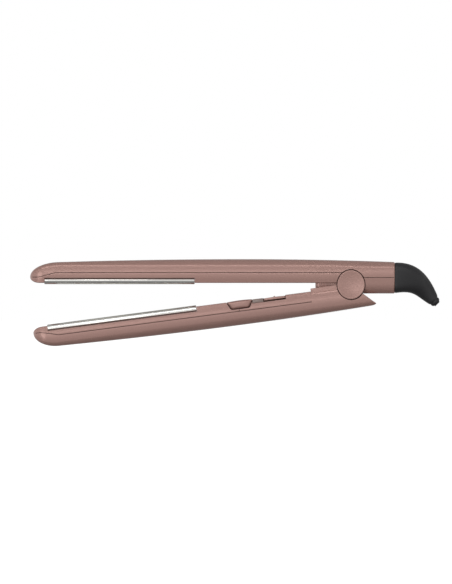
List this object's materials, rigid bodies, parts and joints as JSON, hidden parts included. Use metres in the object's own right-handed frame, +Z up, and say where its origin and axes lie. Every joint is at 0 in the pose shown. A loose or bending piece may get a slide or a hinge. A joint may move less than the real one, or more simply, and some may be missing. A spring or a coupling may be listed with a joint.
{
  "type": "flat iron",
  "caption": "Hair straightener: two hinged arms with floating heated plates, button, rocker and display, and a curved cord boot with a swivel outlet.",
  "frame": {"origin": "middle of the underside of the opened iron's bounding box", "axes": "+X from the arm tips to the cord outlet along the level upper arm, +Y across the arms along the hinge pin, +Z up from the lower arm to the upper arm"},
  "size_m": [0.3006, 0.03, 0.0638],
  "materials": {
    "rose_plastic": "satin moulded plastic, rose",
    "black_plastic": "fine matt texture",
    "carrier_plastic": "heat-resistant, matt",
    "plate_metal": "polished, ceramic coated",
    "clamp_metal": "as extruded",
    "spring_steel": "bright",
    "bush_brass": "machined",
    "heater_ceramic": "fired ceramic",
    "circuit_board": "lacquered laminate",
    "component_plastic": "moulded",
    "lead_sleeve": "silicone sleeve",
    "lens_plastic": "smoked, glossy"
  },
  "bodies": {
    "upper_arm": {"upper_outer_shell": "rose_plastic", "upper_inner_shell": "rose_plastic", "upper_plate_carrier": "carrier_plastic", "upper_plate_springs": "spring_steel", "upper_screws": "spring_steel", "upper_leads": "lead_sleeve", "power_board": "circuit_board", "power_board_parts": "component_plastic", "hinge_pin": "spring_steel", "hinge_spring": "spring_steel", "left_hinge_cover": "rose_plastic", "right_hinge_cover": "rose_plastic", "cord_boot": "black_plastic"},
    "upper_plate_set": {"upper_plate": "plate_metal", "upper_heater": "heater_ceramic", "upper_heater_clamp": "clamp_metal", "upper_thermostat": "heater_ceramic"},
    "lower_arm": {"lower_outer_shell": "rose_plastic", "lower_inner_shell": "rose_plastic", "control_cover": "rose_plastic", "lower_plate_carrier": "carrier_plastic", "lower_plate_springs": "spring_steel", "lower_screws": "spring_steel", "lower_leads": "lead_sleeve", "hinge_bushes": "bush_brass", "display_lens": "lens_plastic", "display_module": "component_plastic", "control_board": "circuit_board", "touch_switches": "component_plastic"},
    "lower_plate_set": {"lower_plate": "plate_metal", "lower_heater": "heater_ceramic", "lower_heater_clamp": "clamp_metal", "lower_thermostat": "heater_ceramic"},
    "power_button": {"power_button": "rose_plastic"},
    "temperature_rocker": {"temperature_rocker": "rose_plastic"},
    "cord_swivel": {"swivel_bush": "black_plastic", "swivel_retainer": "spring_steel"}
  },
  "joints": [
    {"name": "main_hinge", "type": "hinge", "parent": "upper_arm", "child": "lower_arm", "pos_m": [0.08485, 0, 0.04508], "axis": [0, 1, 0], "range_deg": [0, 7.42], "stiffness_Nm_per_rad": 1.55, "springref_deg": -12.95},
    {"name": "upper_plate_float", "type": "slide", "parent": "upper_arm", "child": "upper_plate_set", "axis": [0, 0, 1], "range_m": [0, 0.0008], "stiffness_N_per_m": 4000, "springref_m": -0.0005, "deforming": ["upper_plate_springs"]},
    {"name": "lower_plate_float", "type": "slide", "parent": "lower_arm", "child": "lower_plate_set", "axis": [0.1291, 0, -0.9916], "range_m": [0, 0.0008], "stiffness_N_per_m": 4000, "springref_m": -0.0005, "deforming": ["lower_plate_springs"]},
    {"name": "power_button_press", "type": "slide", "parent": "lower_arm", "child": "power_button", "axis": [0.1291, 0, -0.9916], "range_m": [0, 0.0005], "stiffness_N_per_m": 600, "springref_m": -0.0008},
    {"name": "temperature_rock", "type": "hinge", "parent": "lower_arm", "child": "temperature_rocker", "pos_m": [0.02918, 0, 0.03269], "axis": [0, 1, 0], "range_deg": [-2.5, 2.5], "stiffness_Nm_per_rad": 0.17},
    {"name": "cord_swivel", "type": "hinge", "parent": "upper_arm", "child": "cord_swivel", "pos_m": [0.14575, 0, 0.03333], "axis": [0.7071, 0, -0.7071], "continuous": true}
  ]
}
